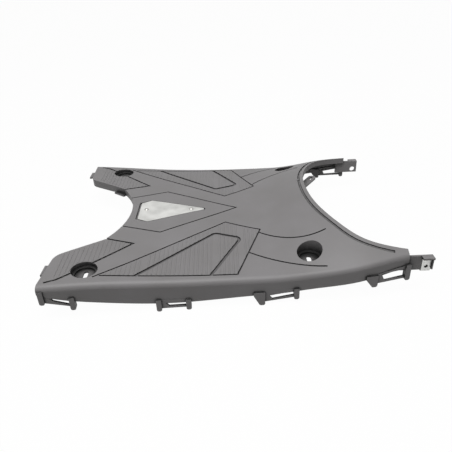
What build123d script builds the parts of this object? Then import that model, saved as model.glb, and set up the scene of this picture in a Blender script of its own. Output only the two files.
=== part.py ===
from build123d import *
import os

# Scooter floorboard: a moulded floor panel with sunk screw pockets, a front notch and a forked rear, a bright
# plate riveted into its floor, and one spring clip nut left on an arm.
# The panel is drawn with X running back from the front screws, Y across from the middle plane and Z up from
# the level of the foot pads. The finished pieces are then moved so that the origin lies under the middle
# of the part, on the plane that it rests on. All sizes are in millimetres.

# Moulded shell
wall = 2.6
shoulder_radius = 8.0
near_zero = 0.001
depth_beyond = 90.0  # how far a cutting block runs past the panel, above and below

# Stations along the panel: X, half width, height of the side edge, height of the crown on the middle plane,
# height of the skirt's lower edge
stations = [
    (-60.0, 193.5, 3.3, 5.1, -5.5),
    (-5.0, 189.0, 0.5, 4.0, -25.0),
    (60.0, 184.0, -4.0, 2.0, -36.0),
    (140.0, 181.0, -8.5, 1.0, -40.0),
    (225.0, 179.0, -10.0, 2.0, -36.0),
    (268.0, 178.0, -10.5, 11.0, -34.0),
    (310.0, 176.5, -8.5, 27.5, -30.0),
    (354.0, 176.5, -2.5, 40.0, -24.5),
    (390.0, 172.0, 3.0, 43.0, -17.5),
    (425.0, 166.0, 7.0, 43.0, -9.0),
    (460.0, 163.0, 9.0, 42.0, -7.0),
]
X, HALF, EDGE, CROWN, FOOT = range(5)

# The fork sits a little askew: from skew_start on, the -Y side lies further back than the +Y side
skew = 0.035
skew_start = 230.0
skew_full = 290.0

# Front notch and its turned-down edge; the +Y lobe reaches a little further forward than the -Y lobe
lobe_front_x = {-1: -53.7, 1: -57.0}
lobe_corner = {-1: (-48.0, 124.0), 1: (-54.0, 126.0)}
lobe_radius = 22.0
notch_bend = (12.0, 84.0)
notch_depth_x = 39.0
notch_flange_z = -9.0

# Rear fork: the groove along its rim, the lip beyond it and the arms
rim_points = [(309.5, 0.0), (320.5, 73.0), (334.0, 103.0), (354.0, 133.0), (388.0, 154.0), (470.0, 168.0)]
rim_groove_width = 3.6
rim_groove_span = (0.13, 0.87)  # the stretch of the rim line that has the groove
lip_width = 7.0
lip_line_points = 15
lip_flange = 6.5

# Screw pockets: X and Y of the screw, rim, ring ledge and floor
front_screw = (0.0, 156.0)
rear_screw = (300.0, 138.0)
front_rim_radius = 17.5
rear_rim_radius = 17.0
ledge_width = 3.5
front_ledge_depth = 6.0
front_floor_depth = 9.0
rear_ledge_depth = 11.0
rear_floor_depth = 14.5
screw_slot_width = 6.5
screw_slot_length = 17.0

# Grooves of the tread
groove_depth = 1.5
thin_groove = 2.0
wide_groove = 3.0
inner_groove = 4.4
inner_groove_radius = 7.0
foot_pad_line = [(-45.0, 183.0), (-31.0, 177.0), (-17.0, 165.0), (55.5, 95.0), (10.0, 80.0)]
side_pad_line = [(14.0, 171.0), (188.0, 44.0), (238.5, 73.0), (202.0, 168.0), (22.0, 168.0)]
inner_pad_line = [(68.0, 168.0), (172.5, 74.0), (210.0, 89.0), (167.0, 168.0)]
arrow_line = [(30.0, 46.0), (91.0, 67.0), (206.0, 0.0)]
rear_line_inner = [(236.0, 80.0), (272.0, 105.0), (294.0, 111.0), (323.0, 108.0)]
rear_line_outer = [(219.0, 124.0), (257.0, 148.0), (313.0, 166.0)]

# Bright plate, its recess and its two rivets
plate_thickness = 1.5
plate_gap = 1.0
plate_gap_front = 3.5
plate_recess_depth = 1.6
plate_seat_gap = 0.1
plate_front = 52.0
plate_front_half = 26.0
plate_shoulder = (68.0, 35.0)
plate_tip = 160.0
plate_corner_radius = 3.0
rivet_spots = [(62.0, 4.0), (134.0, 1.0)]
rivet_shank_radius = 2.0
rivet_head_radius = 3.6
rivet_head_height = 1.8
rivet_tail_radius = 3.0
rivet_tail_height = 1.2
rivet_clearance = 0.05

# Clip loops under the skirt: X and lowest Z of the front post, then of the rear post, the window's height and
# how far the front post leans
loops = [
    (-49.0, -24.5, -12.0, -36.5, 7.0, 0.0),
    (97.0, -51.0, 136.0, -51.0, 5.5, 0.0),
    (233.0, -51.0, 278.0, -44.5, 6.0, 8.0),
    (374.0, -33.0, 418.0, -29.0, 11.0, 9.0),
]
loop_thickness = 3.0
loop_bar = 3.0
loop_post = 7.0
loop_post_thickness = 7.0
loop_post_toe = 3.5
loop_toe_radius = 2.8
loop_slant = 5.0

# Arm ends: the shell stops at arm_end_x and an upright plate with a small flange at its tip goes on
arm_skew = 0.055
arm_end_x = 419.0
arm_tip_x = 448.3
arm_plate_y = 160.0
arm_plate_thickness = 3.0
arm_plate_foot = -18.5
arm_plate_top = 3.0
arm_plate_root = 14.0
arm_root_length = 10.0
arm_root_top = 7.6
arm_flange_length = 15.0
arm_flange_width = 7.0
arm_flange_thickness = 2.4
arm_rib = 1.3
arm_hole_x = 440.6
arm_hole_z = -12.7
arm_hole_radius = 4.6

# Spring clip nut on the -Y arm
nut_width = 12.0
nut_height = 20.0
nut_metal = 0.8
nut_bolt_radius = 2.6
nut_barrel_radius = 4.2
nut_barrel_length = 3.0
nut_gap = 0.2
nut_leaf_step = 2.0

# Small tabs and tongues
front_tab = (8.0, 22.0, 2.4)
front_tab_y = 153.0
notch_tab = (6.0, 24.0, 2.4)
notch_tab_spot = (6.0, 87.0)
notch_tab_angle = 38.0
tongue_length = 66.0
tongue_width = 13.0
tongue_thickness = 3.0
tongue_spot = (328.3, 62.5)
tongue_z = 5.0
tongue_angle = 55.0
tongue_slot = (11.0, 4.5)
tongue_slot_place = 22.0

# Ribs under the floor
rib_thickness = 2.0
rib_foot_z = -15.0
rib_rows_x = (100.0, 160.0, 220.0)
rib_rows_y = (75.0,)
rib_front = 52.0
rib_rear = 252.0
rib_half = 168.0


def at(x, column):
    """A station value at x, in a straight line between the stations on either side."""
    for before, after in zip(stations, stations[1:]):
        if x <= after[X]:
            break
    share = (x - before[X]) / (after[X] - before[X])
    return before[column] + share * (after[column] - before[column])


def top(x, y):
    """Height of the top surface at a plan position."""
    half, edge, crown = at(x, HALF), at(x, EDGE), at(x, CROWN)
    rise = crown - edge
    radius = (half**2 + rise**2) / (2 * rise)
    return crown - radius + (radius**2 - y**2) ** 0.5


def askew(x, y):
    """A rear plan position, with the fork's skew."""
    share = min(max((x - skew_start) / (skew_full - skew_start), 0), 1)
    return (x - skew * share * y, y)


def both_sides(points):
    """Plan points that run from the -Y side to the +Y side, from those of the +Y half."""
    return [askew(x, -y) for x, y in reversed(points) if y > 0] + [askew(x, y) for x, y in points]


def cross_section(station, inset, drop):
    """The panel's section at a station: crowned top, rounded shoulders and skirts, closed below."""
    half, edge, crown = station[HALF] - inset, station[EDGE] - inset, station[CROWN] - inset
    foot = station[FOOT] - drop
    outline = Polyline((-half, edge), (-half, foot), (half, foot), (half, edge))
    outline += ThreePointArc((half, edge), (0, crown), (-half, edge))
    face = make_face(outline)
    shoulders = [corner for corner in face.vertices() if abs(corner.Y - edge) < near_zero]
    rounded = fillet(shoulders, shoulder_radius - inset)
    return Plane((station[X], 0, 0), x_dir=(0, 1, 0), z_dir=(1, 0, 0)) * rounded


def form(inset=0.0, drop=0.0):
    """The panel's filled form, inset all round by a wall and drawn down below the skirt."""
    return loft([cross_section(station, inset, drop) for station in stations])


def through(sketch):
    """A plan sketch as a block that passes right through the panel."""
    return extrude(Pos(0, 0, -depth_beyond) * sketch, 2 * depth_beyond)


def band(line, width):
    """A plan strip of even width along a line."""
    return trace(line, width)


def offset_line(line, distance, count):
    """A smooth line beside another, to the right of its direction."""
    points = []
    for step in range(count):
        share = step / (count - 1)
        here, along = line.position_at(share), line.tangent_at(share)
        points.append((here.X + distance * along.Y, here.Y - distance * along.X))
    return Spline(*points)


def notch_line():
    """The front edge of both lobes and the notch between them, from the -Y side to the +Y side."""
    wide = stations[0][HALF] + wall
    bend_x, bend_y = notch_bend
    curve = ThreePointArc((bend_x, -bend_y), (notch_depth_x, 0), (bend_x, bend_y))
    lines = []
    for side in (-1, 1):
        corner_x, corner_y = lobe_corner[side]
        run = FilletPolyline(
            (lobe_front_x[side], side * wide),
            (corner_x, side * corner_y),
            (bend_x, side * bend_y),
            radius=lobe_radius,
        )
        lines.append(run)
    return lines[0], curve, lines[1]


def notch_face():
    """The plan area ahead of the front edge."""
    near, curve, far = notch_line()
    start, end = near @ 0, far @ 0
    ahead = stations[0][X] - depth_beyond
    closing = Polyline((end.X, end.Y), (ahead, end.Y), (ahead, start.Y), (start.X, start.Y))
    return make_face(near + curve + far + closing)


def rim_line():
    """The line of the groove round the rear fork."""
    return Spline(*both_sides(rim_points))


def fork_face(lip_line):
    """The open plan area between the arms."""
    start, end = lip_line @ 0, lip_line @ 1
    behind = stations[-1][X] + depth_beyond
    closing = Polyline((end.X, end.Y), (behind, end.Y), (behind, start.Y), (start.X, start.Y))
    return make_face(lip_line + closing)


def tips_face():
    """The plan area behind the ends of the arms' shell."""
    behind = stations[-1][X] + depth_beyond
    wide = stations[0][HALF]
    faces = Sketch()
    for side in (-1, 1):
        end = askew(arm_end_x, side * arm_plate_y)[0]
        faces += Pos((end + behind) / 2, side * wide / 2) * Rectangle(behind - end, wide)
    return faces


def lowered(solid, depth):
    """A form moved straight down."""
    return Pos(0, 0, -depth) * solid


def layer(sketch, deep, depth):
    """What lies over a plan sketch, down to an even depth below the top surface."""
    return through(sketch) - lowered(deep, depth)


def above(sketch, level):
    """A plan sketch as a block that starts at a height and passes out through the top."""
    return extrude(Pos(0, 0, level) * sketch, 2 * depth_beyond)


def pocket(spot, rim_radius, ledge_depth, floor_depth):
    """A screw pocket at a plan spot: the boss below the floor and what is cut out of it."""
    x, y = spot
    level = top(x, abs(y))
    ledge = level - ledge_depth
    floor = level - floor_depth
    low = floor - wall
    inner_radius = rim_radius - ledge_width
    boss = Pos(x, y, ledge - wall) * extrude(Circle(rim_radius + wall), 2 * depth_beyond)
    boss += Pos(x, y, low) * extrude(Circle(inner_radius + wall), ledge - low)
    hollow = Pos(x, y, ledge) * extrude(Circle(rim_radius), depth_beyond)
    hollow += Pos(x, y, floor) * extrude(Circle(inner_radius), ledge - floor)
    slot = SlotOverall(screw_slot_length, screw_slot_width, rotation=90)
    hollow += Pos(x, y, low - wall) * extrude(slot, floor - low + 2 * wall)
    return boss, hollow


def polyline_groove(points, width):
    """A plan strip along straight runs."""
    return band(Polyline(*points), width)


def rounded_groove(points, width, radius):
    """A plan strip along straight runs with rounded corners."""
    return band(FilletPolyline(*points, radius=radius), width)


def curved_groove(points, width):
    """A plan strip along a smooth line."""
    return band(Spline(*points), width)


def flip(points, side):
    """Plan points on one side of the middle plane."""
    return [(x, side * y) for x, y in points]


def tread_grooves():
    """The plan strips of all the tread lines."""
    strips = []
    for side in (-1, 1):
        strips.append(polyline_groove(flip(foot_pad_line, side), wide_groove))
        strips.append(polyline_groove(flip(side_pad_line, side), thin_groove))
        strips.append(rounded_groove(flip(inner_pad_line, side), inner_groove, inner_groove_radius))
        for points in (rear_line_inner, rear_line_outer):
            strips.append(curved_groove([askew(x, side * y) for x, y in points], thin_groove))
    strips.append(polyline_groove(flip(arrow_line, -1) + flip(arrow_line[-2::-1], 1), thin_groove))
    return Sketch() + strips


def plate_outline(gap, gap_front):
    """The bright plate's plan outline, grown by a gap."""
    side_x, side_y = plate_shoulder
    points = [
        (plate_front - gap_front, plate_front_half + gap),
        (side_x, side_y + gap),
        (plate_tip + 2 * gap, 0),
        (side_x, -side_y - gap),
        (plate_front - gap_front, -plate_front_half - gap),
    ]
    face = make_face(Polyline(*points, close=True))
    return fillet(face.vertices(), plate_corner_radius)


def clip_loop(loop, side, rear):
    """A clip loop: a windowed plate between two stout posts, hung inside the lower edge of the skirt."""
    front_x, front_low, rear_x, rear_low, window, lean = loop
    ends = []
    for x, low in ((front_x, front_low), (rear_x, rear_low)):
        y = at(x, HALF) - wall / 2
        place = askew(x, side * y) if rear else (x, side * y)
        ends.append((Vector(*place, 0), low, at(x, FOOT)))
    (start, start_low, start_foot), (end, end_low, end_foot) = ends
    along = (end - start).normalized()
    span = (end - start).length
    plane = Plane(start, x_dir=along, z_dir=along.cross(Vector(0, 0, 1)))
    root = wall * 2
    half_post = loop_post / 2
    bar_start, bar_end = start_low + loop_post_toe, end_low + loop_post_toe
    plate = make_face(
        Polyline(
            (-half_post, start_foot + root),
            (-half_post, bar_start),
            (span + half_post, bar_end),
            (span + half_post, end_foot + root),
            close=True,
        )
    )
    left, right = half_post + loop_slant, span - half_post
    bar_rise = (bar_end - bar_start) / span
    sill_left = bar_start + bar_rise * left + loop_bar
    sill_right = bar_start + bar_rise * right + loop_bar
    opening = make_face(
        Polyline(
            (left, sill_left + window),
            (left + loop_slant, sill_left),
            (right, sill_right),
            (right, sill_right + window),
            close=True,
        )
    )
    solid = plane * extrude(plate - opening, loop_thickness / 2, both=True)
    for u, low, foot, slope in ((0, start_low, start_foot, lean), (span, end_low, end_foot, 0)):
        post = make_face(
            Polyline(
                (u - half_post - slope, foot + root),
                (u - half_post - slope, foot),
                (u - half_post, low),
                (u + half_post, low),
                (u + half_post, foot + root),
                close=True,
            )
        )
        toes = post.vertices().sort_by(Axis.Y)[:2]
        post = fillet(toes, loop_toe_radius)
        solid += plane * extrude(post, loop_post_thickness / 2, both=True)
    return solid


def arm_block(side, x0, x1, y0, y1, z0, z1):
    """A block between two X, two distances from the middle plane and two heights, on one side."""
    return Pos((x0 + x1) / 2, side * (y0 + y1) / 2, (z0 + z1) / 2) * Box(x1 - x0, y1 - y0, z1 - z0)


def arm_x(x, side):
    """X at an arm's upright plate, with the arm ends' own skew."""
    return x - arm_skew * side * arm_plate_y


def arm_plate(side):
    """The upright plate at an arm's end, the small flange at its tip and the rib that closes it."""
    tip = arm_x(arm_tip_x, side)
    root = askew(arm_end_x, side * arm_plate_y)[0] - arm_plate_root
    outer = arm_plate_y + arm_plate_thickness / 2
    inner = outer - arm_plate_thickness
    high = arm_plate_top
    plate = arm_block(side, root, tip, inner, outer, arm_plate_foot, high)
    plate += arm_block(side, root, root + arm_root_length, inner, outer, arm_plate_foot, arm_root_top)
    edge = outer + arm_flange_width
    plate += arm_block(side, tip - arm_flange_length, tip, inner, edge, high - arm_flange_thickness, high)
    return plate + arm_block(side, tip - arm_rib, tip, inner, edge - wall, arm_plate_foot + wall, high)


def arm_hole(side):
    """The hole through an arm's upright plate."""
    round_hole = extrude(Circle(arm_hole_radius), arm_plate_thickness, both=True)
    return Pos(arm_x(arm_hole_x, side), side * arm_plate_y, arm_hole_z) * Rot(90, 0, 0) * round_hole


def front_tabs(side):
    """The tab on the front edge of a lobe and the lug under the notch's edge."""
    length, width, thick = front_tab
    edge_x = lobe_corner[side][0]
    level = top(edge_x, front_tab_y) - wall - thick / 2
    ahead = Pos(edge_x - length / 2 + wall, side * front_tab_y, level)
    tab = ahead * Box(length + 2 * wall, width, thick)
    lug_length, lug_width, lug_thick = notch_tab
    x, y = notch_tab_spot
    low = notch_flange_z + lug_thick / 2
    lug = Pos(x, side * y, low) * Rot(0, 0, -side * notch_tab_angle) * Box(lug_width, 2 * lug_length, lug_thick)
    return tab + lug


def tongue(side):
    """The slotted tongue that hangs on a stem under the fork's rim and reaches back and outward."""
    x, y = askew(tongue_spot[0], side * tongue_spot[1])
    flat = SlotOverall(tongue_length, tongue_width)
    flat -= Pos(tongue_slot_place, 0) * SlotOverall(*tongue_slot)
    root = tongue_length / 2 - tongue_width / 2
    reach = Vector(root, 0).rotate(Axis.Z, tongue_angle)
    stem_top = top(tongue_spot[0] - reach.X, tongue_spot[1] - reach.Y) - wall / 2
    stem_height = stem_top - tongue_z
    stem = Pos(-root, 0, stem_height / 2) * Box(2 * wall, 2 * wall, stem_height)
    return Pos(x, y, tongue_z) * Rot(0, 0, side * tongue_angle) * (extrude(flat, tongue_thickness) + stem)


def rib_rows():
    """The plan strips of the crossed ribs under the floor."""
    rows = []
    for x in rib_rows_x:
        rows.append(Pos(x, 0) * Rectangle(rib_thickness, 2 * rib_half))
    for y in rib_rows_y:
        for side in (-1, 1):
            middle = Pos((rib_front + rib_rear) / 2, side * y)
            rows.append(middle * Rectangle(rib_rear - rib_front, rib_thickness))
    return Sketch() + rows


def screw_pockets():
    """The boss and the hollow of each of the four screw pockets."""
    pairs = []
    for side in (-1, 1):
        front = (front_screw[0], side * front_screw[1])
        rear = (rear_screw[0], side * rear_screw[1])
        pairs.append(pocket(front, front_rim_radius, front_ledge_depth, front_floor_depth))
        pairs.append(pocket(rear, rear_rim_radius, rear_ledge_depth, rear_floor_depth))
    return pairs


def make_cavity(lip_line, pockets):
    """The hollow under the floor, less the ribs, bosses and turned-down edges that stand in it."""
    inner = form(wall, depth_beyond)
    edges = Sketch() + [band(line, 2 * wall) for line in notch_line()]
    for bend in (notch_bend, (notch_bend[0], -notch_bend[1])):
        edges += Pos(*bend) * Circle(wall)
    cavity = inner - above(edges, notch_flange_z)
    cavity -= above(rib_rows(), rib_foot_z)
    cavity -= layer(band(lip_line, 2 * wall), inner, lip_flange)
    for boss, hollow in pockets:
        cavity -= boss
    return cavity


def rivet_holes():
    """What is cut out for the rivets' shanks."""
    hole = extrude(Circle(rivet_shank_radius + rivet_clearance), depth_beyond, both=True)
    return [Pos(x, y, 0) * hole for x, y in rivet_spots]


def make_panel():
    """The moulded floor panel, as one solid."""
    rim = rim_line()
    lip_line = offset_line(rim, lip_width, lip_line_points)
    pockets = screw_pockets()
    deep = form(0, depth_beyond)

    panel = form() - layer(tread_grooves(), deep, groove_depth)
    panel -= layer(band(rim.trim(*rim_groove_span), rim_groove_width), deep, groove_depth)
    panel -= layer(plate_outline(plate_gap, plate_gap_front), deep, plate_recess_depth)
    panel -= make_cavity(lip_line, pockets)
    for opening in (notch_face(), fork_face(lip_line), tips_face()):
        panel -= through(opening)
    panel -= [hollow for boss, hollow in pockets] + rivet_holes()

    additions = []
    for side in (-1, 1):
        additions.append(arm_plate(side))
        additions.append(front_tabs(side))
        additions.append(tongue(side))
        for loop in loops:
            additions.append(clip_loop(loop, side, loop is loops[-1]))
    panel += additions
    return panel - [arm_hole(side) for side in (-1, 1)]


def make_plate():
    """The bright plate, bent to the floor's crown and lying just clear of its recess."""
    deep = form(0, depth_beyond)
    low = plate_recess_depth - plate_seat_gap
    sheet = through(plate_outline(0, 0)) & lowered(deep, low - plate_thickness)
    sheet -= lowered(deep, low)
    return sheet - rivet_holes()


def make_rivets(plate):
    """Two dome-headed rivets through the plate and the floor, spread on the underside."""
    rivets = Part()
    dome_radius = (rivet_head_radius**2 + rivet_head_height**2) / (2 * rivet_head_height)
    for x, y in rivet_spots:
        spot = Pos(x, y, 0)
        around = plate & spot * Pos(0, 0, -depth_beyond) * extrude(Circle(rivet_head_radius), 2 * depth_beyond)
        seat = around.bounding_box().max.Z + rivet_clearance
        under = around.bounding_box().min.Z - plate_seat_gap - (wall - plate_recess_depth) - rivet_clearance
        dome = spot * Pos(0, 0, seat + rivet_head_height - dome_radius) * Sphere(dome_radius)
        head = dome & spot * Pos(0, 0, seat) * extrude(Circle(rivet_head_radius), dome_radius)
        shank = spot * Pos(0, 0, under) * extrude(Circle(rivet_shank_radius), seat - under)
        tail = spot * Pos(0, 0, under - rivet_tail_height) * extrude(Circle(rivet_tail_radius), rivet_tail_height)
        rivets += head + shank + tail
    return rivets


def make_nut():
    """The spring clip nut: a strip folded under the -Y arm's plate, with a drawn barrel on its inner leaf."""
    x = arm_x(arm_hole_x, -1)
    reach = arm_plate_thickness / 2 + nut_gap + nut_metal / 2
    fold = arm_plate_foot - nut_gap
    high = fold - reach - nut_metal / 2 + nut_height
    strip = Line((-reach, high), (-reach, fold))
    strip += ThreePointArc((-reach, fold), (0, fold - reach), (reach, fold))
    strip += Line((reach, fold), (reach, high - nut_leaf_step))
    middle = Plane((x, -arm_plate_y, 0), x_dir=(0, 1, 0), z_dir=(1, 0, 0))
    nut = middle * extrude(trace(strip, nut_metal), nut_width / 2, both=True)
    level = Pos(x, -arm_plate_y, arm_hole_z) * Rot(90, 0, 0)
    inner_face = reach - nut_metal / 2
    barrel = extrude(Circle(nut_barrel_radius), nut_barrel_length + nut_metal)
    nut += level * Pos(0, 0, -inner_face - nut_metal - nut_barrel_length) * barrel
    bolt = extrude(Circle(nut_bolt_radius), 2 * nut_height, both=True)
    return nut - level * bolt


def main():
    os.makedirs("parts", exist_ok=True)
    panel = make_panel()
    plate = make_plate()
    rivets = make_rivets(plate)
    nut = make_nut()
    box = panel.bounding_box()
    seat = Pos(-(box.min.X + box.max.X) / 2, 0, -box.min.Z)
    export_step(seat * panel, "parts/floor_panel.step")
    export_step(seat * plate, "parts/centre_plate.step")
    export_step(seat * rivets, "parts/plate_rivets.step")
    export_step(seat * nut, "parts/speed_nut.step")
    print("panel spans X", box.min.X, box.max.X, "and Z", box.min.Z, box.max.Z)


main()
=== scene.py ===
import math

import bmesh
import bpy
from mathutils import Matrix, Vector
from mathutils.bvhtree import BVHTree


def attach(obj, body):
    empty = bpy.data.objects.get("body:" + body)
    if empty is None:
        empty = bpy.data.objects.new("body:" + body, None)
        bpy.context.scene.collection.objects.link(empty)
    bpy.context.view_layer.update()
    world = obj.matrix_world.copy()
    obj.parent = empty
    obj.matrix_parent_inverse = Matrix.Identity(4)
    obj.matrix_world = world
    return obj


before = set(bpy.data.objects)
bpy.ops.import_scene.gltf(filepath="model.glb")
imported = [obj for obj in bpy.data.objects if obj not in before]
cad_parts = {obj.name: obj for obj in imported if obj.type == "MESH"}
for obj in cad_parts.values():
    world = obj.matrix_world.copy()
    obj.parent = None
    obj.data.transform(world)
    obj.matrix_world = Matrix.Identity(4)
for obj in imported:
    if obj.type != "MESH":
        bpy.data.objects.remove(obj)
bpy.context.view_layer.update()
MM = 0.001
UP = Vector((0, 0, 1))
WHITE = (1.0, 1.0, 1.0, 1.0)

# Camera, from the photograph: its place in the part's frame, its angles and its focal length
CAMERA_PLACE = Vector((-4.05, -663.9, 407.0)) * MM
CAMERA_PITCH = math.radians(30.385)
CAMERA_YAW = math.radians(-0.441)
CAMERA_ROLL = math.radians(-2.795)
FOCAL_PIXELS = 470.0
PICTURE_PIXELS = 452.0
SENSOR_WIDTH = 36.0

# Ridges of the foot pads and side pads, in millimetres: plan corners on the +Y half, measured from the
# front screws and the middle plane, the groove that runs inside the side pad, and the front screw pocket
FRONT_SCREWS_X = -197.55
FOOT_PAD = [(-45, 183), (-42, 124), (10, 89.5), (17, 83), (55.5, 95), (-17, 165), (-31, 177)]
SIDE_PAD = [(14, 171), (188, 44), (238.5, 73), (202, 168), (22, 168)]
INNER_PAD = [(68, 168), (172.5, 74), (210, 89), (167, 168)]
POCKET_Y = 156.0
POCKET_CLEARANCE = 19.0
RIDGE_PITCH = 6.0
RIDGE_WIDTH = 3.0
RIDGE_HEIGHT = 0.4
RIDGE_SINK = 0.3
RIDGE_ROUNDING = 0.5
RIDGE_ROW = 4.0
SHORTEST_RIDGE = 3.0
PAD_MARGIN = 1.3
INNER_MARGIN = 2.5
RAY_SLACK = 0.01  # so that a ray down onto the edge between two faces meets one of them

# Studio
FLOOR_REACH = 14.0
FLOOR_COLOUR = "#8c8c8a"
FLOOR_SHADOW = 0.07
FLOOR_GLOW = 1.05
SKY_STRENGTH = 0.09
SOFTBOX_PLACE = Vector((-0.15, -0.5, 1.6))
SOFTBOX_SIZE = 1.0
SOFTBOX_POWER = 27.0


def linear(code):
    """An sRGB hex colour as linear RGBA."""
    parts = [int(code[place:place + 2], 16) / 255 for place in (1, 3, 5)]
    return tuple([p / 12.92 if p <= 0.04045 else ((p + 0.055) / 1.055) ** 2.4 for p in parts] + [1.0])


def node(tree, kind, inputs=None, **settings):
    """A new node with its settings, and its inputs set to a value or linked to another node's output."""
    made = tree.nodes.new(kind)
    for name, value in settings.items():
        setattr(made, name, value)
    for socket, value in (inputs or {}).items():
        if isinstance(value, bpy.types.NodeSocket):
            tree.links.new(value, made.inputs[socket])
        else:
            made.inputs[socket].default_value = value
    return made


def new_material(name):
    """An empty node material, with its tree and its output node."""
    material = bpy.data.materials.new(name)
    material.use_nodes = True
    tree = material.node_tree
    tree.nodes.clear()
    return material, tree, tree.nodes.new("ShaderNodeOutputMaterial")


def ramp(made, stops):
    """Sets a colour ramp's stops from places and hex colours."""
    elements = made.color_ramp.elements
    while len(elements) < len(stops):
        elements.new(0.5)
    for element, (place, colour) in zip(elements, stops):
        element.position = place
        element.color = linear(colour)


def per_mm(size):
    """The scale of a pattern whose cells are a size in millimetres, in a frame of metres."""
    return 1.0 / (size * MM)


def seen_directly(tree):
    """Gives 1 for what the eye, a mirror or a clear face meets, and 0 for light that only bounces."""
    rays = node(tree, "ShaderNodeLightPath").outputs
    mirrored = {0: rays["Is Camera Ray"], 1: rays["Is Glossy Ray"]}
    seen = node(tree, "ShaderNodeMath", mirrored, operation="MAXIMUM").outputs[0]
    passed = {0: seen, 1: rays["Is Transmission Ray"]}
    return node(tree, "ShaderNodeMath", passed, operation="MAXIMUM").outputs[0]


def moulded_polypropylene():
    """Polypropylene moulded against an etched tool: a dull, even grey with a fine leathery grain that
    scatters the light, a little mottling from the flow of the melt, and painted shade darkening its grooves
    and pockets."""
    material, tree, out = new_material("polypropylene_etched_moulding")
    place = node(tree, "ShaderNodeTexCoord").outputs["Object"]
    flow = node(tree, "ShaderNodeTexNoise", {"Vector": place, "Scale": per_mm(60), "Detail": 3.0})
    body = node(tree, "ShaderNodeValToRGB", {"Fac": flow.outputs["Fac"]})
    ramp(body, [(0.3, "#757373"), (0.7, "#7d7b7c")])
    # Painted shade: grooves and pockets are darkened in the base colour by an occlusion ramp, where little
    # light reaches their floors
    shade = node(tree, "ShaderNodeAmbientOcclusion", {"Distance": 18 * MM}, samples=8, only_local=True)
    painted_shade_ramp = node(tree, "ShaderNodeValToRGB", {"Fac": shade.outputs["AO"]})
    ramp(painted_shade_ramp, [(0.66, "#181818"), (0.95, "#ffffff")])
    # Painted shade: the occlusion ramp multiplies the mottled grey, darkening grooves and pockets
    body_with_painted_shade = node(
        tree,
        "ShaderNodeMix",
        {"Factor": 1.0, 6: body.outputs["Color"], 7: painted_shade_ramp.outputs["Color"]},
        data_type="RGBA",
        blend_type="MULTIPLY",
    )
    edges = node(tree, "ShaderNodeBevel", {"Radius": 0.6 * MM}, samples=4)
    # The real grain is about 0.4 mm wide; it is drawn at 1.2 mm, as coarse as it needs to show at all
    grain = node(tree, "ShaderNodeTexVoronoi", {"Vector": place, "Scale": per_mm(1.2)}, feature="SMOOTH_F1")
    bump = node(
        tree,
        "ShaderNodeBump",
        {
            "Height": grain.outputs["Distance"],
            "Distance": 0.08 * MM,
            "Strength": 0.3,
            "Normal": edges.outputs["Normal"],
        },
    )
    gloss = node(tree, "ShaderNodeMapRange", {"Value": flow.outputs["Fac"], "To Min": 0.48, "To Max": 0.58})
    shader = node(
        tree,
        "ShaderNodeBsdfPrincipled",
        {
            "Base Color": body_with_painted_shade.outputs[2],
            "Roughness": gloss.outputs["Result"],
            "IOR": 1.49,
            "Normal": bump.outputs["Normal"],
        },
    )
    tree.links.new(shader.outputs["BSDF"], out.inputs["Surface"])
    return material


def satin_aluminium():
    """Rolled aluminium sheet with a satin face: a pale, soft mirror with faint rolling streaks along it."""
    material, tree, out = new_material("aluminium_satin_rolled")
    place = node(tree, "ShaderNodeTexCoord").outputs["Object"]
    lengthways = node(tree, "ShaderNodeMapping", {"Vector": place, "Scale": (0.06, 1.0, 1.0)})
    streaks = node(
        tree,
        "ShaderNodeTexNoise",
        {"Vector": lengthways.outputs["Vector"], "Scale": per_mm(1.2), "Detail": 4.0},
    )
    clouds = node(tree, "ShaderNodeTexNoise", {"Vector": place, "Scale": per_mm(25), "Detail": 2.0})
    body = node(tree, "ShaderNodeValToRGB", {"Fac": clouds.outputs["Fac"]})
    ramp(body, [(0.35, "#bfbfbc"), (0.65, "#d8d8d5")])
    gloss = node(
        tree,
        "ShaderNodeMapRange",
        {"Value": streaks.outputs["Fac"], "To Min": 0.3, "To Max": 0.46},
    )
    bump = node(
        tree,
        "ShaderNodeBump",
        {"Height": streaks.outputs["Fac"], "Distance": 0.03 * MM, "Strength": 0.3},
    )
    shader = node(
        tree,
        "ShaderNodeBsdfPrincipled",
        {
            "Base Color": body.outputs["Color"],
            "Metallic": 1.0,
            "Roughness": gloss.outputs["Result"],
            "Normal": bump.outputs["Normal"],
        },
    )
    tree.links.new(shader.outputs["BSDF"], out.inputs["Surface"])
    return material


def upset_aluminium():
    """Aluminium rivet heads upset in a cupped tool: smooth, with a base colour set darker than the sheet as
    painted shade on the domes, and a small bright highlight."""
    material, tree, out = new_material("aluminium_upset_head")
    place = node(tree, "ShaderNodeTexCoord").outputs["Object"]
    wear = node(tree, "ShaderNodeTexNoise", {"Vector": place, "Scale": per_mm(2), "Detail": 2.0})
    # Painted shade: the base colour is set darker than the sheet's to stand in for the domes' shading
    body = node(tree, "ShaderNodeValToRGB", {"Fac": wear.outputs["Fac"]})
    ramp(body, [(0.3, "#9b9a97"), (0.7, "#b4b3b0")])
    gloss = node(tree, "ShaderNodeMapRange", {"Value": wear.outputs["Fac"], "To Min": 0.36, "To Max": 0.48})
    shader = node(
        tree,
        "ShaderNodeBsdfPrincipled",
        {"Base Color": body.outputs["Color"], "Metallic": 1.0, "Roughness": gloss.outputs["Result"]},
    )
    tree.links.new(shader.outputs["BSDF"], out.inputs["Surface"])
    return material


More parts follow.
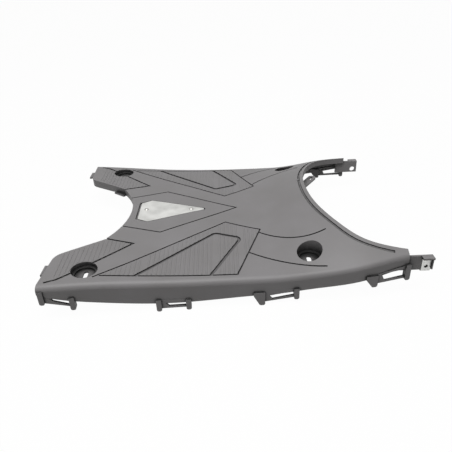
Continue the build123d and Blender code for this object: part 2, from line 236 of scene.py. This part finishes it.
def zinc_plated_steel():
    """Spring steel strip with bright zinc plating: silvery and a little cloudy, with worn, soft edges."""
    material, tree, out = new_material("spring_steel_zinc_plated")
    place = node(tree, "ShaderNodeTexCoord").outputs["Object"]
    clouds = node(tree, "ShaderNodeTexNoise", {"Vector": place, "Scale": per_mm(3), "Detail": 3.0})
    body = node(tree, "ShaderNodeValToRGB", {"Fac": clouds.outputs["Fac"]})
    ramp(body, [(0.3, "#b4b5b3"), (0.7, "#d2d2cf")])
    gloss = node(
        tree,
        "ShaderNodeMapRange",
        {"Value": clouds.outputs["Fac"], "To Min": 0.22, "To Max": 0.42},
    )
    edges = node(tree, "ShaderNodeBevel", {"Radius": 0.25 * MM}, samples=4)
    shader = node(
        tree,
        "ShaderNodeBsdfPrincipled",
        {
            "Base Color": body.outputs["Color"],
            "Metallic": 1.0,
            "Roughness": gloss.outputs["Result"],
            "Normal": edges.outputs["Normal"],
        },
    )
    tree.links.new(shader.outputs["BSDF"], out.inputs["Surface"])
    return material


def floor_paint():
    """Matt white studio floor: plain white to the eye and in reflections, with a faint shadow."""
    material, tree, out = new_material("studio_floor_matt_white")
    seen = seen_directly(tree)
    share = node(tree, "ShaderNodeMath", {0: seen, 1: 1 - FLOOR_SHADOW}, operation="MULTIPLY")
    matt = node(tree, "ShaderNodeBsdfDiffuse", {"Color": linear(FLOOR_COLOUR)})
    glow = node(tree, "ShaderNodeEmission", {"Color": WHITE, "Strength": FLOOR_GLOW})
    both = node(tree, "ShaderNodeMixShader", {0: share.outputs[0], 1: matt.outputs[0], 2: glow.outputs[0]})
    tree.links.new(both.outputs[0], out.inputs["Surface"])
    return material


def make_studio():
    """The floor, the white surround and one large soft lamp above the near side."""
    mesh = bpy.data.meshes.new("studio_floor")
    reach = FLOOR_REACH
    corners = [(-reach, -reach, 0), (reach, -reach, 0), (reach, reach, 0), (-reach, reach, 0)]
    mesh.from_pydata(corners, [], [(0, 1, 2, 3)])
    floor = bpy.data.objects.new("studio_floor", mesh)
    bpy.context.scene.collection.objects.link(floor)
    mesh.materials.append(floor_paint())

    world = bpy.data.worlds.new("studio_surround")
    bpy.context.scene.world = world
    world.use_nodes = True
    tree = world.node_tree
    tree.nodes.clear()
    seen = seen_directly(tree)
    strength = node(tree, "ShaderNodeMapRange", {"Value": seen, "To Min": SKY_STRENGTH, "To Max": 1.0})
    surround = node(tree, "ShaderNodeBackground", {"Color": WHITE, "Strength": strength.outputs["Result"]})
    out = node(tree, "ShaderNodeOutputWorld")
    tree.links.new(surround.outputs[0], out.inputs["Surface"])

    lamp = bpy.data.lights.new("softbox", "AREA")
    lamp.size = SOFTBOX_SIZE
    lamp.energy = SOFTBOX_POWER
    box = bpy.data.objects.new("softbox", lamp)
    box.location = SOFTBOX_PLACE
    box.rotation_euler = (-SOFTBOX_PLACE).to_track_quat("-Z", "Y").to_euler()
    bpy.context.scene.collection.objects.link(box)


def make_camera():
    """The camera at the photograph's place and angle."""
    right = Vector((math.cos(CAMERA_YAW), -math.sin(CAMERA_YAW), 0))
    level = Vector((math.sin(CAMERA_YAW), math.cos(CAMERA_YAW), 0))
    ahead = level * math.cos(CAMERA_PITCH) - UP * math.sin(CAMERA_PITCH)
    down = -(level * math.sin(CAMERA_PITCH) + UP * math.cos(CAMERA_PITCH))
    rolled_right = right * math.cos(CAMERA_ROLL) - down * math.sin(CAMERA_ROLL)
    rolled_down = right * math.sin(CAMERA_ROLL) + down * math.cos(CAMERA_ROLL)
    lens = bpy.data.cameras.new("photo_camera")
    lens.sensor_width = SENSOR_WIDTH
    lens.lens = FOCAL_PIXELS / PICTURE_PIXELS * SENSOR_WIDTH
    lens.clip_start = 0.01
    camera = bpy.data.objects.new("photo_camera", lens)
    turn = Matrix((rolled_right, -rolled_down, -ahead)).transposed().to_4x4()
    camera.matrix_world = Matrix.Translation(CAMERA_PLACE) @ turn
    bpy.context.scene.collection.objects.link(camera)
    bpy.context.scene.camera = camera


def crossings(outline, x, margin):
    """Where a closed outline crosses a line of one X: each Y, and the margin measured along that line."""
    found = []
    for (ax, ay), (bx, by) in zip(outline, outline[1:] + outline[:1]):
        if (ax - x) * (bx - x) < 0:
            slope = (by - ay) / (bx - ax)
            found.append((ay + slope * (x - ax), margin * math.hypot(1, slope)))
    return sorted(found)


def long_enough(spans):
    """The stretches that have room for a ridge."""
    return [(start, end) for start, end in spans if end - start > SHORTEST_RIDGE]


def without(spans, low, high):
    """Stretches of a line with one stretch taken out."""
    parts = []
    for start, end in spans:
        parts += [(start, min(end, low)), (max(start, high), end)]
    return long_enough(parts)


def ridge_spans(pad, x):
    """The stretches of a pad along a line of one X, clear of the grooves and of the screw pocket."""
    edges = crossings(pad, x, PAD_MARGIN)
    if len(edges) < 2:
        return []
    (first, first_margin), (last, last_margin) = edges[0], edges[-1]
    spans = long_enough([(first + first_margin, last - last_margin)])
    for y, margin in crossings(INNER_PAD, x, INNER_MARGIN):
        spans = without(spans, y - margin, y + margin)
    reach = POCKET_CLEARANCE**2 - x**2
    if reach > 0:
        spans = without(spans, POCKET_Y - math.sqrt(reach), POCKET_Y + math.sqrt(reach))
    return spans


def add_ridge(form, floor, x, left, right, side):
    """Adds one ridge, a low bar that follows the floor between its left and its right edge's stretch."""
    rows = max(2, math.ceil((left[1] - left[0]) / RIDGE_ROW))
    half = RIDGE_WIDTH / 2
    flat = half - RIDGE_ROUNDING
    section = [(-half, -RIDGE_SINK), (-flat, RIDGE_HEIGHT), (flat, RIDGE_HEIGHT), (half, -RIDGE_SINK)]
    before = None
    for row in range(rows + 1):
        share = row / rows
        ring = []
        for across, height in section:
            lean = (across + half) / RIDGE_WIDTH
            start = left[0] + lean * (right[0] - left[0])
            end = left[1] + lean * (right[1] - left[1])
            plan = Vector((x + across + FRONT_SCREWS_X, side * (start + share * (end - start)), 0)) * MM
            level = floor.ray_cast(plan + UP, -UP)[0].z
            ring.append(form.verts.new((plan.x, plan.y, level + height * MM)))
        if before is None:
            form.faces.new(ring)
        else:
            for place in range(len(section)):
                after = (place + 1) % len(section)
                form.faces.new((before[place], ring[place], ring[after], before[after]))
        before = ring
    form.faces.new(before)


def make_ridges(material):
    """The even bars across the foot pads and the side pads, one piece with the panel's own finish."""
    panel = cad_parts["floor_panel"].data
    corners, faces = [v.co for v in panel.vertices], [p.vertices for p in panel.polygons]
    floor = BVHTree.FromPolygons(corners, faces, epsilon=RAY_SLACK * MM)
    form = bmesh.new()
    half = RIDGE_WIDTH / 2
    for pad in (FOOT_PAD, SIDE_PAD):
        x = min(corner[0] for corner in pad) + RIDGE_PITCH / 2
        while x < max(corner[0] for corner in pad):
            left, right = ridge_spans(pad, x - half), ridge_spans(pad, x + half)
            if len(left) == len(right):
                for pair in zip(left, right):
                    for side in (-1, 1):
                        add_ridge(form, floor, x, *pair, side)
            x += RIDGE_PITCH
    bmesh.ops.recalc_face_normals(form, faces=form.faces)
    mesh = bpy.data.meshes.new("pad_ridges")
    form.to_mesh(mesh)
    form.free()
    mesh.materials.append(material)
    ridges = bpy.data.objects.new("pad_ridges", mesh)
    bpy.context.scene.collection.objects.link(ridges)
    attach(ridges, "root")


def dress(name, material):
    """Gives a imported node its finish."""
    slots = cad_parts[name].data.materials
    slots.clear()
    slots.append(material)


plastic = moulded_polypropylene()
dress("floor_panel", plastic)
make_ridges(plastic)
dress("centre_plate", satin_aluminium())
dress("plate_rivets", upset_aluminium())
dress("speed_nut", zinc_plated_steel())
make_studio()
make_camera()
bpy.context.scene.view_settings.view_transform = "Standard"
